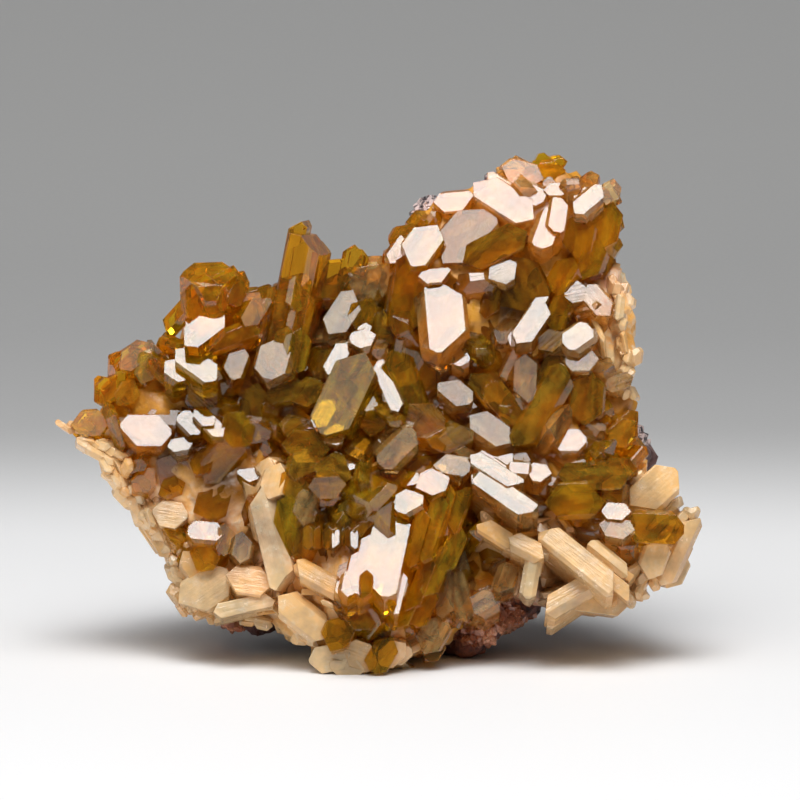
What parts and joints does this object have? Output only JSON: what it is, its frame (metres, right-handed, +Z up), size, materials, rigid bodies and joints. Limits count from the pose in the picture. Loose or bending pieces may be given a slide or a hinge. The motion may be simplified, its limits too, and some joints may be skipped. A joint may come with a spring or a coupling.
{
  "type": "barite crystal cluster",
  "caption": "Cabinet-size mineral specimen: golden-brown bladed barite crystals on a crust of massive barite over dark host rock, standing on its lower tip and rock foot.",
  "frame": {"origin": "on the ground, under the middle of the specimen's bounding box", "axes": "+X to the right across the crystal face, +Y from the crystal face to the rock behind it, +Z up"},
  "size_m": [0.1285, 0.0695, 0.1001],
  "materials": {
    "amber_barite": "clear to cloudy amber crystal with glassy flat faces",
    "massive_barite": "cream to peach massive barite, waxy and slightly see-through",
    "host_rock": "rough dark rock with metallic grains"
  },
  "bodies": {
    "root": {"barite_crystals": "amber_barite", "matrix_rock": "host_rock"}
  },
  "joints": []
}
